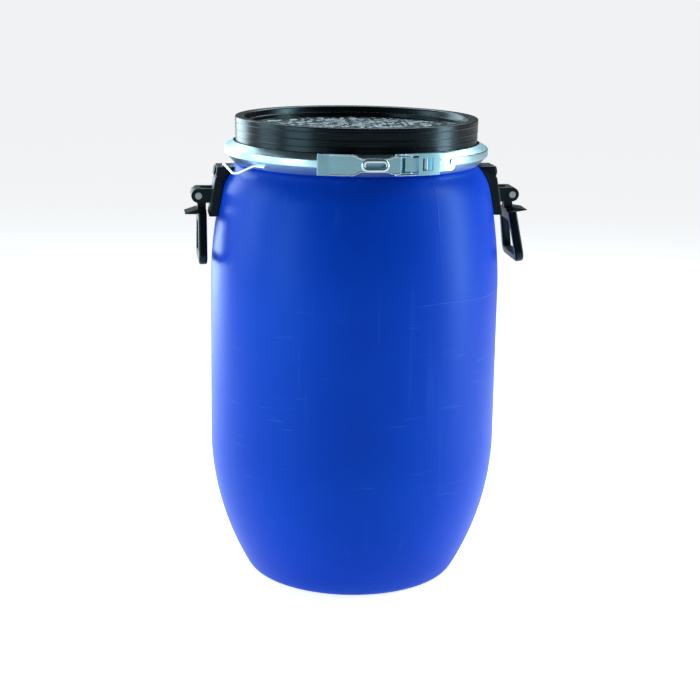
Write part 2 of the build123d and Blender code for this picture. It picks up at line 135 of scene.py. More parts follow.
class Graph:
    """A material's nodes, with one shader that its finish fills in."""

    def __init__(self, name: str) -> None:
        """Start a material with an empty principled shader.

        Args:
            name: the material's name.
        """
        self.material = bpy.data.materials.new(name)
        self.material.use_nodes = True
        self.tree = self.material.node_tree
        self.shader = self.tree.nodes["Principled BSDF"]
        self.object = self.node("ShaderNodeTexCoord", {}, {}, "Object")

    def node(self, kind: str, settings: dict, inputs: dict, output: str | int = 0) -> Wire:
        """Add a node of any type.

        Args:
            kind: the node's type.
            settings: its properties, set before its sockets.
            inputs: values or wires by socket name or number.
            output: the output socket that is returned.

        Returns:
            The chosen output.
        """
        made = self.tree.nodes.new(kind)
        for key, value in settings.items():
            setattr(made, key, value)
        for key, value in inputs.items():
            self.fill(made.inputs[key], value)
        return Wire(self, made.outputs[output])

    def fill(self, socket: bpy.types.NodeSocket, value: "Wire | float | Sequence[float]") -> None:
        """Link a wire to a socket, or set its number.

        Args:
            socket: the input socket.
            value: a wire, a number, a vector or a colour.
        """
        if isinstance(value, Wire):
            self.tree.links.new(value.socket, socket)
        else:
            socket.default_value = value

    def stretched(self, scale: Sequence[float], turn: float = 0.0) -> Wire:
        """Object coordinates scaled along each axis after a turn about Z, in degrees."""
        inputs = {"Vector": self.object, "Scale": scale, "Rotation": (0, 0, math.radians(turn))}
        return self.node("ShaderNodeMapping", {}, inputs)

    def noise(self, scale: float, detail: float = 3.0, vector: Wire | None = None) -> Wire:
        """Noise value at a scale per metre, from 0 to 1."""
        inputs = {"Vector": vector or self.object, "Scale": scale, "Detail": detail}
        return self.node("ShaderNodeTexNoise", {}, inputs, "Fac")

    def cells(self, scale: float, output: str = "Distance") -> Wire:
        """Voronoi cells at a scale per metre."""
        return self.node("ShaderNodeTexVoronoi", {}, {"Vector": self.object, "Scale": scale}, output)

    def axis(self, letter: str) -> Wire:
        """One object coordinate, X, Y or Z, in metres."""
        return self.node("ShaderNodeSeparateXYZ", {}, {0: self.object}, letter)

    def blend(
        self, amount: Wire, first: "Wire | Sequence[float]", second: "Wire | Sequence[float]"
    ) -> Wire:
        """Mix of two colours by an amount."""
        settings = {"data_type": "RGBA"}
        return self.node("ShaderNodeMix", settings, {"Factor": amount, 6: first, 7: second}, 2)

    def bump(self, height: Wire, distance: float, strength: float = 1.0) -> None:
        """Feed the shader's normal with a bump of a height map, its distance in metres."""
        inputs = {"Height": height, "Distance": distance, "Strength": strength}
        self.set(Normal=self.node("ShaderNodeBump", {}, inputs, "Normal"))

    def set(self, **inputs: "Wire | float | Sequence[float]") -> None:
        """Fill the shader's sockets, an underscore standing for a space."""
        for key, value in inputs.items():
            self.fill(self.shader.inputs[key.replace("_", " ")], value)


# ---- finishes -------------------------------------------------------------------------------
@dataclass(frozen=True)
class BluePolyethylene:
    """Blow moulded polyethylene, satin, with a mould line, drag marks and fine scuffs."""

    colour: tuple = (0.0, 0.062, 0.64, 1)
    deep_colour: tuple = (0.0, 0.052, 0.58, 1)
    scuff_colour: tuple = (0.04, 0.17, 0.74, 1)
    sheen_tint: tuple = (0.35, 0.75, 1.0, 1)
    sheen_level: float = 0.24
    roughness: float = 0.36
    mould_line_bearing: float = 27.0
    mould_line_half: float = 1.1 * MM
    mould_line_fade: tuple = (0.47, 0.53)
    scratch_height: float = 0.412
    scratch_relief: float = 0.35
    drag_share: float = 0.16
    rub_share: float = 0.42
    speck_share: float = 0.5
    foot_share: float = 0.35
    scratch_share: float = 0.5
    bump_distance: float = 0.5 * MM

    def build(self) -> bpy.types.Material:
        """Make the material.

        Returns:
            The material.
        """
        graph = Graph("blue_polyethylene")
        cloud = graph.noise(5.0, 4.0).ramp(0.3, 0.7)
        height = graph.axis("Z")
        drag = graph.noise(60.0, 4.0, graph.stretched((1, 1, 0.05))).ramp(0.6, 0.76)
        rub = graph.noise(90.0, 5.0, graph.stretched((0.12, 0.12, 1.6), 20)).ramp(0.62, 0.75)
        bulge = height.ramp(0.10, 0.2) * height.ramp(0.45, 0.36)
        foot = height.ramp(0.03, 0.0)
        speck = graph.noise(700.0, 2.0).ramp(0.68, 0.78) * graph.noise(14.0).ramp(0.5, 0.65)
        x = graph.axis("X")
        arc = abs(height - (self.scratch_height - x * 0.02 - abs(x - 0.1) * 0.06)).ramp(0.0009, 0.0002)
        scratch = arc * x.ramp(0.045, 0.07) * graph.axis("Y").ramp(0.0, -0.03)
        wear = (
            drag * self.drag_share
            + rub * bulge * self.rub_share
            + speck * self.speck_share
            + foot * self.foot_share
            + scratch * self.scratch_share
        )
        plain = graph.blend(cloud, self.deep_colour, self.colour)
        graph.set(
            Base_Color=graph.blend(wear, plain, self.scuff_colour),
            Roughness=self.roughness + cloud * 0.03 + wear * 0.2,
            IOR=1.5,
            Specular_IOR_Level=self.sheen_level,
            Specular_Tint=self.sheen_tint,
        )
        turned = graph.stretched((1, 1, 1), -self.mould_line_bearing)
        across = graph.node("ShaderNodeSeparateXYZ", {}, {0: turned}, "X")
        line = abs(across).ramp(self.mould_line_half, 0.0) * height.ramp(*self.mould_line_fade)
        peel = graph.noise(160.0, 2.0) * 0.10 + graph.noise(24.0, 2.0) * 0.5
        relief = peel + line * 0.4 - scratch * self.scratch_relief - rub * bulge * 0.1
        graph.bump(relief, self.bump_distance)
        return graph.material


@dataclass(frozen=True)
class MouldedBlack:
    """Injection moulded black plastic with a gloss, flow marks and light handling marks."""

    name: str
    roughness: float
    grain: float
    colour: tuple = (0.0018, 0.0022, 0.003, 1)
    mark_colour: tuple = (0.02, 0.024, 0.028, 1)
    sheen_level: float = 0.34
    sheen_tint: tuple = (0.62, 0.88, 1.0, 1)
    bump_distance: float = 0.12 * MM

    def build(self) -> bpy.types.Material:
        """Make the material.

        Returns:
            The material.
        """
        graph = Graph(self.name)
        cloud = graph.noise(30.0, 4.0).ramp(0.35, 0.7)
        hair = graph.noise(240.0, 4.0, graph.stretched((0.2, 0.2, 2.2), 35)).ramp(0.7, 0.8)
        dust = graph.noise(900.0, 2.0).ramp(0.66, 0.8)
        marks = hair * 0.35 + dust * 0.35
        graph.set(
            Base_Color=graph.blend(marks, self.colour, self.mark_colour),
            Roughness=self.roughness + cloud * 0.06 + marks * 0.16,
            IOR=1.5,
            Specular_IOR_Level=self.sheen_level,
            Specular_Tint=self.sheen_tint,
        )
        graph.bump(graph.noise(520.0, 2.0) * self.grain + graph.noise(40.0) * 0.5, self.bump_distance)
        return graph.material


@dataclass(frozen=True)
class Steel:
    """Plated sheet or bar: pale metal with a spangle, fine brush lines and dull spots."""

    name: str
    roughness: float
    colour: tuple = (0.60, 0.80, 0.85, 1)
    dull_colour: tuple = (0.40, 0.60, 0.66, 1)
    spangle: float = 420.0
    brush: tuple = (1.0, 1.0, 9.0)
    bump_distance: float = 0.12 * MM

    def build(self) -> bpy.types.Material:
        """Make the material.

        Returns:
            The material.
        """
        graph = Graph(self.name)
        flake = graph.cells(self.spangle, "Color")
        grey = graph.node("ShaderNodeSeparateColor", {}, {0: flake}, 0)
        lines = graph.noise(260.0, 3.0, graph.stretched(self.brush))
        cloud = graph.noise(22.0, 4.0).ramp(0.35, 0.75)
        dull = cloud * 0.5 + grey * 0.22 + lines.ramp(0.5, 0.8) * 0.25
        graph.set(
            Base_Color=graph.blend(dull, self.colour, self.dull_colour),
            Metallic=1.0,
            Roughness=self.roughness + cloud * 0.08 + grey * 0.05,
        )
        graph.bump(lines * 0.6 + graph.noise(70.0, 2.0) * 0.8, self.bump_distance)
        return graph.material


@dataclass(frozen=True)
class Rubber:
    """Matt foamed rubber of the lid's seal."""

    colour: tuple = (0.02, 0.02, 0.021, 1)
    light_colour: tuple = (0.05, 0.05, 0.05, 1)
    bump_distance: float = 0.2 * MM

    def build(self) -> bpy.types.Material:
        """Make the material.

        Returns:
            The material.
        """
        graph = Graph("seal_rubber")
        pores = graph.cells(1400.0).ramp(0.1, 0.5)
        graph.set(
            Base_Color=graph.blend(pores, self.colour, self.light_colour),
            Roughness=0.78 + pores * 0.12,
        )
        graph.bump(pores, self.bump_distance)
        return graph.material


@dataclass
class Finishes:
    """All the finishes of the drum, made once."""

    blue: bpy.types.Material = field(default_factory=lambda: BluePolyethylene().build())
    lid: bpy.types.Material = field(
        default_factory=lambda: MouldedBlack("lid_plastic_gloss", 0.24, 0.25).build()
    )
    black: bpy.types.Material = field(
        default_factory=lambda: MouldedBlack("handle_plastic_satin", 0.33, 0.5).build()
    )
    rubber: bpy.types.Material = field(default_factory=lambda: Rubber().build())
    band: bpy.types.Material = field(default_factory=lambda: Steel("galvanised_band", 0.30).build())
    plate: bpy.types.Material = field(
        default_factory=lambda: Steel(
            "zinc_plated_sheet", 0.27, (0.46, 0.78, 0.88, 1), (0.30, 0.58, 0.68, 1), 700.0
        ).build()
    )
    wire: bpy.types.Material = field(
        default_factory=lambda: Steel(
            "bright_wire", 0.22, (0.80, 0.86, 0.86, 1), (0.6, 0.66, 0.67, 1), 900.0, (4, 4, 4)
        ).build()
    )
    pin: bpy.types.Material = field(
        default_factory=lambda: Steel(
            "turned_pin_steel", 0.28, (0.55, 0.6, 0.62, 1), (0.34, 0.38, 0.4, 1), 800.0, (1, 1, 14)
        ).build()
    )


# ---- meshes ---------------------------------------------------------------------------------
MERGE_DISTANCE = 1e-6
FLAT_ANGLE = 0.3
EDGE_ANGLE = 28.0


def unit(vectors: np.ndarray) -> np.ndarray:
    """Vectors divided by their lengths."""
    return vectors / np.linalg.norm(vectors, axis=-1, keepdims=True)


def rounded(
    corners: Sequence[Sequence[float]], radii: float | Sequence[float], steps: int = 5, closed: bool = False
) -> np.ndarray:
    """Polyline whose corners are arcs.

    Each corner gives way to the circle that touches both of its sides: the circle's centre is on
    the corner's bisector at radius / sin(half the angle), and the arc's points are a spherical
    mix of its two end directions.

    Args:
        corners: the corners, in any number of dimensions.
        radii: one radius, or one for each corner.
        steps: points on each arc.
        closed: whether the last corner joins the first.

    Returns:
        The points, without repeats.
    """
    here = np.asarray(corners, float)
    to_last, to_next = np.roll(here, 1, axis=0) - here, np.roll(here, -1, axis=0) - here
    room = np.minimum(np.linalg.norm(to_last, axis=1), np.linalg.norm(to_next, axis=1)) * 0.49
    u, v = unit(to_last), unit(to_next)
    half = np.arccos(np.clip((u * v).sum(1), -1 + 1e-9, 1 - 1e-9)) / 2
    reach = np.minimum(np.broadcast_to(radii, len(here)) / np.tan(half), room)
    centre = here + unit(u + v) * (reach * np.tan(half) / np.sin(half))[:, None]
    start = (here + u * reach[:, None] - centre)[:, None]
    end = (here + v * reach[:, None] - centre)[:, None]
    swing = (np.pi - 2 * half)[:, None, None]
    share = np.linspace(0, 1, steps)[None, :, None]
    mix = np.sin((1 - share) * swing) * start + np.sin(share * swing) * end
    arcs = centre[:, None] + mix / np.sin(swing)
    if closed:
        points = arcs.reshape(-1, here.shape[1])
    else:
        points = np.vstack([here[:1], arcs[1:-1].reshape(-1, here.shape[1]), here[-1:]])
    moved = np.linalg.norm(np.diff(points, axis=0), axis=1) > MERGE_DISTANCE
    return points[np.concatenate([[True], moved])]


def arc(centre: tuple[float, float], radius: float, start: float, end: float, steps: int) -> np.ndarray:
    """Points of a circular arc in a section, its angles in degrees from the outward direction."""
    angle = np.radians(np.linspace(start, end, steps))
    return np.stack([centre[0] + radius * np.cos(angle), centre[1] + radius * np.sin(angle)], 1)


def around(radius: np.ndarray, bearing: np.ndarray, height: np.ndarray) -> np.ndarray:
    """Points at radii, bearings in radians and heights, broadcast together."""
    radius, bearing, height = np.broadcast_arrays(radius, bearing, height)
    return np.stack([radius * np.sin(bearing), -radius * np.cos(bearing), height], -1)


def quads(rows: int, columns: int, wrap_rows: bool, wrap_columns: bool) -> np.ndarray:
    """Faces of a grid whose point (i, j) has number i * columns + j.

    Args:
        rows: points along the first parameter.
        columns: points along the second parameter.
        wrap_rows: whether the last row joins the first.
        wrap_columns: whether the last column joins the first.

    Returns:
        Four point numbers for each face.
    """
    i = np.arange(rows if wrap_rows else rows - 1)[:, None]
    j = np.arange(columns if wrap_columns else columns - 1)[None, :]
    after_i, after_j = (i + 1) % rows, (j + 1) % columns
    corner = [i * columns + j, i * columns + after_j, after_i * columns + after_j, after_i * columns + j]
    return np.stack(np.broadcast_arrays(*corner), -1).reshape(-1, 4)


def mesh_object(name: str, points: np.ndarray, faces: list, sharp: float = 38.0) -> bpy.types.Object:
    """Object with a mesh, smooth except where faces meet at more than an angle.

    Args:
        name: the piece's name.
        points: its points.
        faces: its faces as lists of point numbers.
        sharp: the angle in degrees.

    Returns:
        The object, linked to the scene.
    """
    mesh = bpy.data.meshes.new(name)
    mesh.from_pydata(points.tolist(), [], faces)
    mesh.polygons.foreach_set("use_smooth", np.ones(len(mesh.polygons), bool))
    mesh.set_sharp_from_angle(angle=math.radians(sharp))
    mesh.validate()
    made = bpy.data.objects.new(name, mesh)
    bpy.context.scene.collection.objects.link(made)
    return made


def lathe(name: str, section: np.ndarray, turns: int, relief: Callable | None = None) -> bpy.types.Object:
    """Surface of revolution: a section's (radius, height) points carried round the axis.

    Args:
        name: the piece's name.
        section: the points, from the axis below, outwards and up, and back to the axis.
        turns: steps round the axis.
        relief: function of radii, bearings and heights that gives a rise along Z.

    Returns:
        The closed piece, with one point on the axis at each end.
    """
    bearing = np.arange(turns) * 2 * np.pi / turns
    body = section[1:-1]
    points = around(body[:, :1], bearing[None], body[:, 1:])
    rise = relief(body[:, :1], bearing[None], body[:, 1:]) if relief else 0.0
    points[..., 2] += rise
    ends = np.array([[0, 0, section[0, 1]], [0, 0, section[-1, 1]]])
    first, last = len(body) * turns, len(body) * turns + 1
    side = quads(len(body), turns, False, True).tolist()
    here = np.arange(turns)
    after = (here + 1) % turns
    low_fan = np.stack([np.full(turns, first), after, here], 1).tolist()
    top = (len(body) - 1) * turns
    high_fan = np.stack([np.full(turns, last), top + here, top + after], 1).tolist()
    return mesh_object(name, np.vstack([points.reshape(-1, 3), ends]), side + low_fan + high_fan)


def tube(
    name: str, path: np.ndarray, out: float, across: float, closed: bool, sides: int = 14
) -> bpy.types.Object:
    """Rolled edge: an ellipse carried along a path, one axis pointing away from the drum's axis.

    Args:
        name: the piece's name.
        path: the points of its middle line.
        out: half width away from the drum's axis.
        across: half width along the drum's surface.
        closed: whether the path closes on itself.
        sides: points on the ellipse.

    Returns:
        The closed piece.
    """
    outward = unit(path * (1, 1, 0))
    if closed:
        along = np.roll(path, -1, axis=0) - np.roll(path, 1, axis=0)
    else:
        along = np.gradient(path, axis=0)
    side = unit(np.cross(along, outward))
    angle = np.arange(sides)[None, :, None] * 2 * np.pi / sides
    ellipse = np.cos(angle) * out * outward[:, None], np.sin(angle) * across * side[:, None]
    points = path[:, None] + ellipse[0] + ellipse[1]
    faces = quads(len(path), sides, closed, True).tolist()
    if not closed:
        rim = np.arange(sides)
        faces += [rim[::-1].tolist(), (rim + (len(path) - 1) * sides).tolist()]
    return mesh_object(name, points.reshape(-1, 3), faces)


def bevelled_copy(
    node: str, name: str, width: float, segments: int, share: Callable | None = None
) -> bpy.types.Object:
    """Copy of a CAD node's mesh, merged, with its sharp edges rounded.

    Args:
        node: the CAD node.
        name: the piece's name.
        width: the bevel's width.
        segments: the bevel's steps.
        share: function of an edge's middle point that gives its share of the width.

    Returns:
        The piece.
    """
    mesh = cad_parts[node].data.copy()
    mesh.name = name
    mesh.materials.clear()
    soft = bmesh.new()
    soft.from_mesh(mesh)
    bmesh.ops.remove_doubles(soft, verts=soft.verts, dist=MERGE_DISTANCE)
    flat = math.radians(FLAT_ANGLE)
    bmesh.ops.dissolve_limit(soft, angle_limit=flat, verts=soft.verts, edges=soft.edges)
    layer = soft.edges.layers.float.new("bevel_weight_edge")
    for edge in soft.edges:
        if len(edge.link_faces) == 2 and edge.calc_face_angle(0.0) > math.radians(EDGE_ANGLE):
            middle = (edge.verts[0].co + edge.verts[1].co) / 2
            edge[layer] = share(middle) if share else 1.0
    soft.to_mesh(mesh)
    soft.free()
    mesh.polygons.foreach_set("use_smooth", np.ones(len(mesh.polygons), bool))
    mesh.set_sharp_from_angle(angle=math.radians(EDGE_ANGLE))
    made = bpy.data.objects.new(name, mesh)
    bpy.context.scene.collection.objects.link(made)
    rounding = made.modifiers.new("edge_rounding", "BEVEL")
    rounding.limit_method = "WEIGHT"
    rounding.width = width
    rounding.segments = segments
    rounding.use_clamp_overlap = False
    rounding.harden_normals = True
    return made


def dress(
    piece: bpy.types.Object, material: bpy.types.Material, slot: Slot, body: str | None, *nodes: str
) -> None:
    """Give a piece its finish, its body and the CAD nodes that it stands for.

    Args:
        piece: the piece.
        material: its finish.
        slot: the record's slot.
        body: the CAD body that it rides on, or None to attach it to no body.
        nodes: the CAD nodes that it replaces.
    """
    piece.data.materials.append(material)
    if body:
        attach(piece, body)
    if nodes:
        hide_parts(*nodes)
    log.info("%s: %d faces, slot %s, body %s", piece.name, len(piece.data.polygons), slot.value, body)


def refinish(material: bpy.types.Material, *nodes: str) -> None:
    """Give CAD nodes that stay as they are a better finish.

    Args:
        material: the finish.
        nodes: the nodes.
    """
    for node in nodes:
        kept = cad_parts[node]
        kept.data.materials.clear()
        kept.data.materials.append(material)
        log.info("%s: CAD mesh with finish %s", node, material.name)


# ---- sub-assemblies -------------------------------------------------------------------------
@dataclass
class DrumShell:
    """Blow moulded body with its foot, flank, shoulder, neck and bead."""

    turns: int = 256
    wall: float = 4.0 * MM
    widest: float = 195.3 * MM
    flank: float = 375.0 * MM
    flank_centre: tuple = (-179.5 * MM, 200.0 * MM)
    barrel: float = 700.0 * MM
    barrel_centre: tuple = (-504.5 * MM, 392.0 * MM)
    barrel_turn: float = 11.71
    shoulder: float = 62.0 * MM
    shoulder_centre: tuple = (120.25 * MM, 521.4 * MM)
    heel: float = 25.0 * MM
    heel_distance: float = 350.0 * MM
    foot: float = 110.0 * MM
    panel: float = 103.0 * MM
    recess: float = 7.0 * MM
    floor_wall: float = 4.5 * MM
    neck: float = 160.5 * MM
    bead: float = 171.5 * MM
    bead_low: float = 569.45 * MM
    bead_edge: float = 580.18 * MM
    mouth: float = 152.0 * MM
    mouth_top: float = 584.48 * MM
    mouth_lip: float = 10.0 * MM
    bead_tuck: float = 0.4 * MM
    foot_land: float = 8.0 * MM
    foot_round: float = 2.0 * MM
    bead_round: float = 1.2 * MM
    arc_steps: tuple = (9, 28, 20, 16)

    def side(self, inset: float, floor: float, throat: float) -> np.ndarray:
        """Section from the heel to the neck: arcs that touch, each with its radius less the inset.

        Args:
            inset: distance inside the outer surface.
            floor: height of the heel's lowest point.
            throat: radius where the shoulder meets the neck.

        Returns:
            The section's points, from the heel up.
        """
        steps = self.arc_steps
        heel = self.heel - inset
        rise = self.flank_centre[1] - floor - heel
        heel_turn = -math.degrees(math.asin(rise / self.heel_distance))
        heel_centre = (
            self.flank_centre[0] + math.sqrt(self.heel_distance**2 - rise**2),
            floor + heel,
        )
        end = math.degrees(math.acos((throat - self.shoulder_centre[0]) / (self.shoulder - inset)))
        return np.vstack(
            [
                arc(heel_centre, heel, -90, heel_turn, steps[0]),
                arc(self.flank_centre, self.flank - inset, heel_turn, 0, steps[1])[1:],
                arc(self.barrel_centre, self.barrel - inset, 0, self.barrel_turn, steps[2]),
                arc(self.shoulder_centre, self.shoulder - inset, self.barrel_turn, end, steps[3])[1:],
            ]
        )

    def build(self, looks: Finishes) -> None:
        """Make the shell as one closed wall.

        Args:
            looks: the finishes.
        """
        land = self.foot + self.foot_land
        base = rounded(
            [(0, self.recess), (self.panel, self.recess), (self.foot, 0), (land, 0)], self.foot_round
        )
        outside = self.side(0.0, 0.0, self.neck)
        bead = rounded(
            [
                (self.neck, self.bead_low - self.bead_tuck),
                (self.bead, self.bead_edge),
                (self.bead, self.mouth_top),
                (self.mouth, self.mouth_top),
                (self.mouth, self.mouth_top - self.mouth_lip),
            ],
            self.bead_round,
        )
        inside = self.side(self.wall, self.floor_wall, self.mouth)[::-1]
        hollow = rounded(
            [
                (land, self.floor_wall),
                (self.foot, self.floor_wall),
                (self.panel, self.recess + self.floor_wall),
                (0, self.recess + self.floor_wall),
            ],
            self.foot_round,
        )
        section = np.vstack([base, outside, bead, inside, hollow])
        section[:, 0] = np.minimum(section[:, 0], self.widest)
        piece = lathe("drum_body", section, self.turns)
        dress(piece, looks.blue, Slot.BLUE, "drum", "drum_shell")


@dataclass
class Lid:
    """Black lid with a ribbed wall, a rounded rim, a sunken embossed panel and a seal."""

    turns: int = 288
    top: float = 630.0 * MM
    wall_radius: float = 162.4 * MM
    wall_foot: float = 597.3 * MM
    rim_inner: float = 149.5 * MM
    ledge: float = 622.0 * MM
    ledge_radius: float = 148.0 * MM
    panel_radius: float = 145.5 * MM
    panel: float = 616.0 * MM
    panel_under: float = 612.0 * MM
    flange: float = 171.5 * MM
    flange_top: float = 591.9 * MM
    flange_under: float = 585.5 * MM
    groove_outer: float = 168.1 * MM
    groove_inner: float = 159.9 * MM
    groove_top: float = 587.55 * MM
    skirt: float = 158.5 * MM
    skirt_top: float = 626.0 * MM
    plug: float = 151.0 * MM
    plug_low: float = 572.0 * MM
    plug_inner: float = 147.0 * MM
    step_heights: tuple = (623.2 * MM, 613.4 * MM, 604.4 * MM)
    step_size: float = 0.75 * MM
    step_blend: float = 0.18 * MM
    step_bead: tuple = (0.7 * MM, 0.5 * MM, 0.45)
    wall_inset: float = 0.3 * MM
    wall_stop: float = 3.4 * MM
    wall_points: int = 110
    rib_size: float = 0.045 * MM
    rib_pitch: float = 1.9 * MM
    ring_radii: tuple = (24.0 * MM, 52.0 * MM, 84.0 * MM, 114.0 * MM)
    ring_width: float = 1.7 * MM
    spokes: int = 18
    spoke_span: tuple = (28.0 * MM, 136.0 * MM)
    spoke_fade: float = 4.0 * MM
    spoke_width: float = 1.8 * MM
    emboss: float = 1.3 * MM
    wave_seed: int = 11
    wave_lengths: tuple = (34.0 * MM, 9.0 * MM, 16)
    wave_gain: float = 0.018
    wave_limits: tuple = (-1.2 * MM, 0.9 * MM)
    panel_points: int = 100

    def wall_section(self) -> np.ndarray:
        """Outer wall from its foot to the rim.

        The wall steps out by a third of the step size above each step line, stands proud in a
        small bead over the line, and carries fine ribs in between as a cosine of the height.

        Returns:
            The section's points.
        """
        height = np.linspace(self.wall_foot, self.top - self.wall_stop, self.wall_points)
        lines = np.array(self.step_heights)[:, None]
        above, width, share = self.step_bead
        out = (1 / (1 + np.exp(-(height - lines) / self.step_blend))).sum(0) * self.step_size / len(lines)
        proud = np.exp(-(((height - lines - above) / width) ** 2)).sum(0) * self.step_size * share
        ribs = np.cos(height * 2 * np.pi / self.rib_pitch) * self.rib_size
        radius = self.wall_radius - self.step_size - self.wall_inset + out + proud + ribs
        return np.stack([np.minimum(radius, self.wall_radius), height], 1)

    def relief(self, radius: np.ndarray, bearing: np.ndarray, height: np.ndarray) -> np.ndarray:
        """Embossing of the sunken panel.

        Rings are bell curves of the radius, spokes are bell curves across evenly spaced bearings
        that fade at both ends, and the wrinkles are a sum of bent plane waves with seeded
        directions and phases.

        Args:
            radius: radii of the points.
            bearing: bearings of the points.
            height: heights of the points.

        Returns:
            The rise of each point, nought away from the panel.
        """
        draw = np.random.default_rng(self.wave_seed)
        rings = sum(np.exp(-(((radius - r) / self.ring_width) ** 2)) for r in self.ring_radii)
        first, last = self.spoke_span
        reach = np.clip((radius - first) / self.spoke_fade, 0, 1)
        reach = reach * np.clip((last - radius) / self.spoke_fade, 0, 1)
        offset = np.sin(bearing * self.spokes / 2) * radius * 2 / self.spokes
        spokes = np.exp(-((offset / self.spoke_width) ** 2)) * reach
        x, y = radius * np.sin(bearing), radius * np.cos(bearing)
        waves = np.zeros(np.broadcast(radius, bearing).shape)
        for length in np.geomspace(*self.wave_lengths):
            angle, phase = draw.uniform(0, 2 * np.pi, 2)
            across = x * np.sin(angle) - y * np.cos(angle)
            ahead = x * np.cos(angle) + y * np.sin(angle)
            bend = 0.35 * np.sin(across * 2 * np.pi / (length * 2.3) + phase)
            waves += np.sin(ahead * 2 * np.pi / length + phase + bend * 4) * length
        waves *= self.wave_gain
        ridges = np.maximum(rings, spokes) * self.emboss - self.emboss
        rise = ridges + np.clip(waves, *self.wave_limits)
        edge = np.clip((self.panel_radius - 3 * MM - radius) / (5 * MM), 0, 1)
        return np.where(abs(height - self.panel) < 1e-6, np.minimum(rise, 0) * edge, 0.0)

    def build(self, looks: Finishes) -> None:
        """Make the lid shell as one closed wall and finish the seal.

        Args:
            looks: the finishes.
        """
        under = rounded(
            [
                (0, self.panel_under),
                (self.plug_inner, self.panel_under),
                (self.plug_inner, self.plug_low),
                (self.plug, self.plug_low),
                (self.plug, self.skirt_top),
                (self.skirt, self.skirt_top),
                (self.skirt, self.flange_under),
                (self.groove_inner, self.flange_under),
                (self.groove_inner, self.groove_top),
                (self.groove_outer, self.groove_top),
                (self.groove_outer, self.flange_under),
                (self.flange, self.flange_under),
                (self.flange, self.flange_top),
                (self.wall_radius - 1.0 * MM, self.wall_foot - 0.2 * MM),
            ],
            np.array([0, 1.5, 1, 1, 1, 1, 0.3, 0.2, 0.2, 0.2, 0.2, 0.8, 1.2, 0]) * MM,
        )
        rim = rounded(
            [
                (self.wall_radius - self.wall_inset, self.top - 3.3 * MM),
                (self.wall_radius - self.wall_inset, self.top),
                (self.rim_inner, self.top),
                (self.ledge_radius, self.ledge),
                (self.panel_radius, self.ledge - 0.2 * MM),
                (self.panel_radius, self.panel),
                (self.panel_radius - 4 * MM, self.panel),
            ],
            np.array([0, 3.1, 3.1, 0.6, 1.0, 1.2, 0]) * MM,
            7,
        )
        inwards = np.linspace(self.panel_radius - 4.4 * MM, 1.5 * MM, self.panel_points)
        panel = np.stack([inwards, np.full(self.panel_points, self.panel)], 1)
        centre = np.array([[0.0, self.panel - self.emboss]])
        section = np.vstack([under, self.wall_section(), rim, panel, centre])
        piece = lathe("lid_body", section, self.turns, self.relief)
        dress(piece, looks.lid, Slot.LID, "lid", "lid_shell")
        refinish(looks.rubber, "lid_gasket")


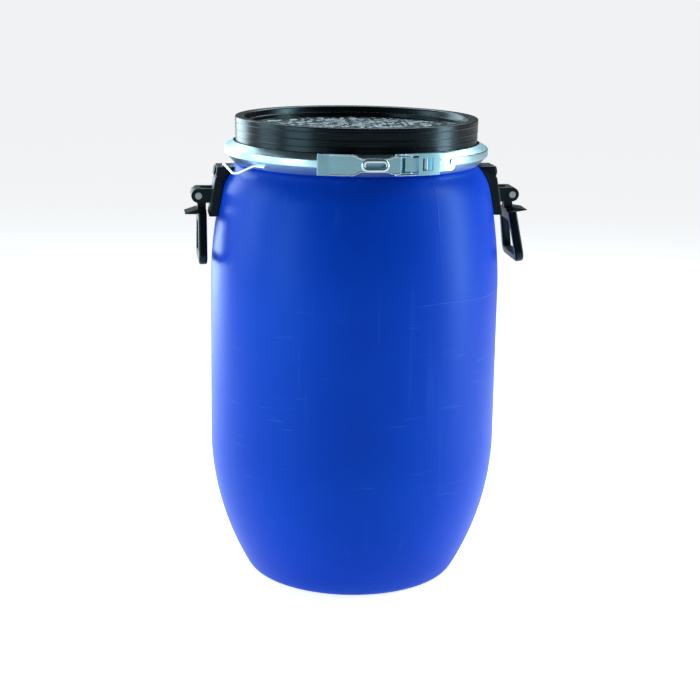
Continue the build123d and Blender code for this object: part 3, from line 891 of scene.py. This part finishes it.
@dataclass
class ClampBand:
    """Folded steel band that holds the lid, carried round the axis in one piece."""

    web: float = 176.0 * MM
    ring_top: float = 598.0 * MM
    web_top: float = 591.3 * MM
    web_low: float = 582.2 * MM
    ring_low: float = 570.0 * MM
    upper_lip: float = 164.3 * MM
    lower_lip: float = 163.5 * MM
    thickness: float = 1.2 * MM
    fold: float = 2.6 * MM
    start: float = 16.7
    end: float = 374.7
    turns: int = 330
    bend_reach: float = 3.5 * MM

    def build(self, looks: Finishes) -> None:
        """Carry the folded section round the axis.

        The section's inner line is its outer line moved inwards along its own normals by the
        sheet's thickness.

        Args:
            looks: the finishes.
        """
        outer = rounded(
            [
                (self.lower_lip, self.ring_low),
                (self.web, self.web_low),
                (self.web, self.web_top),
                (self.upper_lip, self.ring_top),
            ],
            self.fold,
            7,
        )
        along = unit(np.gradient(outer, axis=0))
        inner = outer + np.stack([-along[:, 1], along[:, 0]], 1) * self.thickness
        loop = np.vstack([outer, inner[::-1]])
        bearing = np.radians(np.linspace(self.start, self.end, self.turns))
        points = around(loop[None, :, 0], bearing[:, None], loop[None, :, 1])
        count = len(loop)
        side = quads(self.turns, count, False, True)[:, ::-1].tolist()
        rim = np.arange(count)
        caps = [rim.tolist(), (rim + (self.turns - 1) * count)[::-1].tolist()]
        piece = mesh_object("clamp_band", points.reshape(-1, 3), side + caps)
        dress(piece, looks.band, Slot.ZINC, None, "ring_band_left", "ring_band_right")
        gap = around(self.web, math.radians((self.start + self.end - 360) / 2), self.web_low)
        back = around(self.web, math.pi, self.web_low)
        chord = unit(back - gap)
        right = np.array([chord[1], -chord[0], 0.0])
        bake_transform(piece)


@dataclass
class Closure:
    """Toggle lever, its link and the brackets that it pulls together."""

    middle: float = 587.0 * MM
    face: float = 186.0 * MM
    bevel: float = 0.5 * MM
    rim: float = 0.95 * MM
    free_end: float = -18.3
    half_height: float = 12.3 * MM
    waist_half: float = 7.7 * MM
    waist: tuple = (-6.0, 4.0)
    shoulder: tuple = (-8.8, 6.8)
    plate_half: float = 10.4 * MM
    plate_end: float = 9.4
    slot_bearing: float = -0.5
    lip_length: float = 30.3 * MM
    lip_width: float = 11.2 * MM
    lip_out: float = 1.7 * MM
    lip_across: float = 2.35 * MM
    link_span: tuple = (8.8, 26.2)
    link_radius: float = 185.1 * MM
    link_half: float = 12.55 * MM
    waist_round: float = 6.0 * MM
    shoulder_round: float = 5.0 * MM
    rim_points: int = 110
    rim_sink: float = 0.35

    def edge_rim(self, sign: int) -> np.ndarray:
        """Path of a rolled edge: corners on the plate's outline, rounded flat and then bent round.

        Args:
            sign: 1 for the upper edge and -1 for the lower one.

        Returns:
            The path's points.
        """
        corners = [
            (self.free_end, self.half_height),
            (self.shoulder[0], self.half_height),
            (self.waist[0], self.waist_half),
            (self.waist[1], self.waist_half),
            (self.shoulder[1], self.plate_half),
            (self.plate_end, self.plate_half),
        ]
        flat = np.array([(math.radians(b) * self.face, h) for b, h in corners])
        smooth = rounded(flat, [0, *[self.waist_round] * 3, self.shoulder_round, 0], 8)
        length = np.concatenate([[0], np.cumsum(np.linalg.norm(np.diff(smooth, axis=0), axis=1))])
        fine = np.linspace(0, length[-1], self.rim_points)
        run, rise = np.interp(fine, length, smooth[:, 0]), np.interp(fine, length, smooth[:, 1])
        return around(self.face - self.rim * self.rim_sink, run / self.face, self.middle + sign * rise)

    def slot_rim(self) -> np.ndarray:
        """Path of the slot's pressed lip: a line between two half circles, bent round the drum.

        Returns:
            The path's points.
        """
        half = (self.lip_length - self.lip_width) / 2
        angle = np.linspace(-np.pi / 2, np.pi / 2, 15)
        round_end = np.cos(angle) * self.lip_width / 2, np.sin(angle) * self.lip_width / 2
        right = np.stack([half + round_end[0], round_end[1]], 1)
        length = np.linspace(0, 1, 9)[1:-1, None]
        top = right[-1] * (1 - length) + -right[0] * length
        loop = np.vstack([right, top, -right, -top])
        bearing = math.radians(self.slot_bearing) + loop[:, 0] / self.face
        return around(self.face + 0.1 * MM, bearing, self.middle + loop[:, 1])

    def build(self, looks: Finishes) -> None:
        """Make the bevelled plates and their rolled edges, and finish the pins and rivets.

        Args:
            looks: the finishes.
        """
        for node, name, body in (
            ("lever", "lever_plate", "lever"),
            ("toggle_link", "link_plate", "link"),
            ("anchor_bracket", "anchor_plate", "ring"),
            ("catch_bracket", "catch_plate", "ring_right"),
        ):
            piece = bevelled_copy(node, name, self.bevel, 2)
            dress(piece, looks.plate, Slot.ZINC, body, node)
        for name, sign in (("lever_rim_upper", 1), ("lever_rim_lower", -1)):
            piece = tube(name, self.edge_rim(sign), self.rim, self.rim, False)
            dress(piece, looks.wire, Slot.ZINC, "lever")
        for name, sign in (("link_rim_upper", 1), ("link_rim_lower", -1)):
            bearing = np.radians(np.linspace(*self.link_span, 60))
            path = around(self.link_radius, bearing, self.middle + sign * self.link_half)
            dress(tube(name, path, self.rim, self.rim, False), looks.wire, Slot.ZINC, "link")
        lip = tube("lever_slot_lip", self.slot_rim(), self.lip_out, self.lip_across, True)
        dress(lip, looks.wire, Slot.ZINC, "lever")
        refinish(looks.pin, "lever_pin", "link_pin", "hook_pin", "anchor_rivets", "catch_rivets")
        refinish(looks.wire, "retaining_wire")


@dataclass
class Handles:
    """The two carrying grips with their brackets, studs and pins."""

    bracket_round: float = 1.6 * MM
    grip_round: float = 3.2 * MM
    lug_reach: float = 199.5 * MM
    barrel_low: float = 512.0 * MM
    fin_low: float = 480.0 * MM
    lug_share: float = 0.55
    barrel_share: float = 0.3
    fin_share: float = 0.14

    def bracket_share(self, middle: Vector) -> float:
        """Share of the bevel at a bracket's edge: less on its lugs."""
        return self.lug_share if abs(middle.x) > self.lug_reach else 1.0

    def grip_share(self, middle: Vector) -> float:
        """Share of the bevel at a grip's edge: less on its barrel, and least on its fin."""
        if middle.z > self.barrel_low:
            return self.barrel_share
        if middle.z > self.fin_low:
            return self.fin_share
        return 1.0

    def build(self, looks: Finishes) -> None:
        """Make both sides.

        Args:
            looks: the finishes.
        """
        for side in ("left", "right"):
            bracket = bevelled_copy(
                f"handle_bracket_{side}", f"bracket_{side}", self.bracket_round, 3, self.bracket_share
            )
            dress(bracket, looks.black, Slot.BLACK, "drum", f"handle_bracket_{side}")
            grip = bevelled_copy(f"grip_{side}", f"carry_grip_{side}", self.grip_round, 4, self.grip_share)
            dress(grip, looks.black, Slot.BLACK, f"handle_{side}", f"grip_{side}")
            refinish(looks.black, f"bracket_studs_{side}")
            refinish(looks.pin, f"grip_pin_{side}")


# ---- studio ---------------------------------------------------------------------------------
@dataclass(frozen=True)
class SoftBox:
    """Rectangular lamp about the drum: bearing in degrees, power in watts, the rest in metres."""

    name: str
    bearing: float
    height: float
    distance: float
    size: tuple[float, float]
    power: float
    aim: float

    def place(self, colour: tuple) -> None:
        """Stand the lamp at its place and point it at the aimed height on the drum's axis.

        Args:
            colour: the light's colour.
        """
        light = bpy.data.lights.new(self.name, "AREA")
        light.shape = "RECTANGLE"
        light.size, light.size_y = self.size
        light.energy = self.power
        light.color = colour
        lamp = bpy.data.objects.new(self.name, light)
        stand = Vector(around(self.distance, math.radians(self.bearing), self.height))
        lamp.location = stand
        lamp.rotation_euler = (Vector((0, 0, self.aim)) - stand).to_track_quat("-Z", "Y").to_euler()
        bpy.context.scene.collection.objects.link(lamp)


@dataclass
class Studio:
    """Pale floor, soft lights, sky and camera."""

    look: tuple = (0.0, 0.0, 0.3)
    distance: float = 2.30
    azimuth: float = -8.0
    elevation: float = 13.65
    roll: float = 0.9
    lens: float = 85.65
    shift: tuple = (-0.0041428571, 0.0091428571)
    sensor: float = 36.0
    far: float = 200.0
    floor_radius: float = 60.0
    floor_glow: float = 0.42
    floor_seen: float = 0.95
    sky_level: float = 0.07
    cool: tuple = (0.72, 0.92, 1.0)
    floor_drop: float = 0.4 * MM
    floor_steps: int = 96
    floor_colour: tuple = (0.86, 0.87, 0.88, 1)
    sky_colour: tuple = (0.97, 0.98, 1.0, 1)
    boxes: tuple = (
        SoftBox("left_back_box", -143, 0.75, 1.7, (0.9, 1.7), 30, 0.3),
        SoftBox("right_box", 79, 0.8, 1.6, (0.42, 1.5), 21, 0.3),
        SoftBox("top_box", 165, 1.9, 1.2, (1.8, 1.1), 36, 0.6),
        SoftBox("left_side_box", -96, 0.9, 2.0, (0.8, 1.2), 13, 0.3),
        SoftBox("left_front_box", -62, 0.6, 2.2, (0.9, 1.0), 11, 0.4),
    )

    def floor(self) -> None:
        """Pale disc that the drum stands on: a ring of points about a middle one."""
        count = self.floor_steps
        bearing = np.arange(count) * 2 * np.pi / count
        points = np.vstack([around(self.floor_radius, bearing, 0.0), [[0, 0, 0]]])
        here = np.arange(count)
        faces = np.stack([here, (here + 1) % count, np.full(count, count)], 1).tolist()
        disc = mesh_object("studio_floor", points, faces)
        disc.location.z = -self.floor_drop
        graph = Graph("studio_floor_paint")
        seen = graph.node("ShaderNodeLightPath", {}, {}, "Is Camera Ray")
        graph.set(
            Base_Color=self.floor_colour,
            Roughness=0.9,
            Specular_IOR_Level=0.0,
            Emission_Color=self.floor_colour,
            Emission_Strength=self.floor_glow + seen * (self.floor_seen - self.floor_glow),
        )
        disc.data.materials.append(graph.material)

    def sky(self) -> None:
        """Even pale surroundings: full white where the camera sees them, dim where they light."""
        world = bpy.data.worlds.new("studio_sky")
        bpy.context.scene.world = world
        world.use_nodes = True
        tree = world.node_tree
        background = tree.nodes["Background"]
        background.inputs["Color"].default_value = self.sky_colour
        path = tree.nodes.new("ShaderNodeLightPath")
        level = tree.nodes.new("ShaderNodeMapRange")
        level.inputs["To Min"].default_value = self.sky_level
        level.inputs["To Max"].default_value = 1.0
        tree.links.new(path.outputs["Is Camera Ray"], level.inputs["Value"])
        tree.links.new(level.outputs["Result"], background.inputs["Strength"])

    def camera(self) -> None:
        """Camera that looks at the drum from a little above."""
        turn, rise = math.radians(self.azimuth), math.radians(self.elevation)
        direction = Vector(
            (math.sin(turn) * math.cos(rise), -math.cos(turn) * math.cos(rise), math.sin(rise))
        )
        lens = bpy.data.cameras.new("camera")
        lens.lens = self.lens
        lens.sensor_width = self.sensor
        lens.shift_x, lens.shift_y = self.shift
        lens.clip_end = self.far
        eye = bpy.data.objects.new("camera", lens)
        eye.location = Vector(self.look) + direction * self.distance
        turned = (-direction).to_track_quat("-Z", "Y") @ Quaternion((0, 0, 1), math.radians(self.roll))
        eye.rotation_euler = turned.to_euler()
        bpy.context.scene.collection.objects.link(eye)
        bpy.context.scene.camera = eye

    def build(self) -> None:
        """Set the scene."""
        bpy.context.scene.view_settings.view_transform = "Standard"
        self.floor()
        for box in self.boxes:
            box.place(self.cool)
        self.sky()
        self.camera()


def main() -> None:
    """Build every sub-assembly in order, then the studio."""
    logging.basicConfig(level=logging.INFO, format="%(name)s %(message)s")
    looks = Finishes()
    for assembly in (DrumShell(), Lid(), ClampBand(), Closure(), Handles()):
        assembly.build(looks)
        log.info("%s built", type(assembly).__name__)
    Studio().build()


if __name__ == "__main__":
    main()
